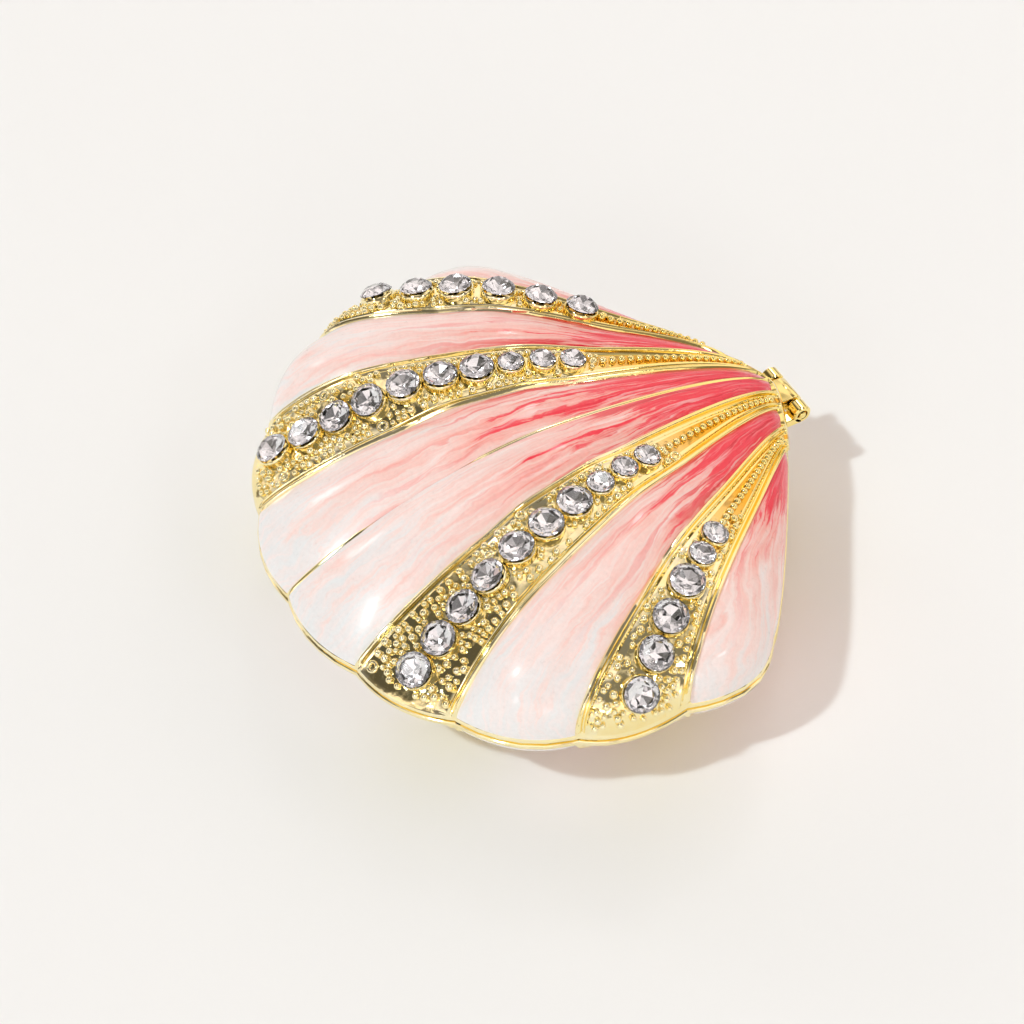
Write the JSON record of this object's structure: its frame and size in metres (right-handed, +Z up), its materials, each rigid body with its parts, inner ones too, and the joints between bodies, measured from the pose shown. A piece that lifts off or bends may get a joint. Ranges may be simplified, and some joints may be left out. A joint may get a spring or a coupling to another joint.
{
  "type": "shell trinket box",
  "caption": "Scallop-shell trinket box with a domed lid hinged at its beak, enamel pads between bands of clear stones, and a hollow base with a flat foot.",
  "frame": {"origin": "centre of the bounding box, on the flat foot", "axes": "+X across the fan, -Y the front lip, +Y the hinge, +Z up"},
  "size_m": [0.0624, 0.0586, 0.0223],
  "materials": {
    "gold_plate": "bright polished gold plate on cast metal",
    "enamel": "glossy pearlescent enamel, coral at the beak and white at the rim",
    "stone": "clear faceted, silver-backed"
  },
  "bodies": {
    "base": {"base": "gold_plate", "hinge_pin": "gold_plate", "base_enamel_1": "enamel", "base_enamel_2": "enamel", "base_enamel_3": "enamel", "base_enamel_4": "enamel", "base_enamel_5": "enamel", "base_enamel_6": "enamel"},
    "lid": {"lid": "gold_plate", "lid_enamel_1": "enamel", "lid_enamel_2": "enamel", "lid_enamel_3": "enamel", "lid_enamel_4": "enamel", "lid_enamel_5": "enamel", "lid_enamel_6": "enamel", "stone_1_1": "stone", "stone_1_2": "stone", "stone_1_3": "stone", "stone_1_4": "stone", "stone_1_5": "stone", "stone_1_6": "stone", "stone_2_1": "stone", "stone_2_2": "stone", "stone_2_3": "stone", "stone_2_4": "stone", "stone_2_5": "stone", "stone_2_6": "stone", "stone_2_7": "stone", "stone_2_8": "stone", "stone_2_9": "stone", "stone_2_10": "stone", "stone_3_1": "stone", "stone_3_2": "stone", "stone_3_3": "stone", "stone_3_4": "stone", "stone_3_5": "stone", "stone_3_6": "stone", "stone_3_7": "stone", "stone_3_8": "stone", "stone_3_9": "stone", "stone_3_10": "stone", "stone_4_1": "stone", "stone_4_2": "stone", "stone_4_3": "stone", "stone_4_4": "stone", "stone_4_5": "stone", "stone_4_6": "stone"}
  },
  "joints": [
    {"name": "lid_hinge", "type": "hinge", "parent": "base", "child": "lid", "pos_m": [0, 0.02825, 0.011], "axis": [-1, 0, 0], "range_deg": [0, 80]}
  ]
}
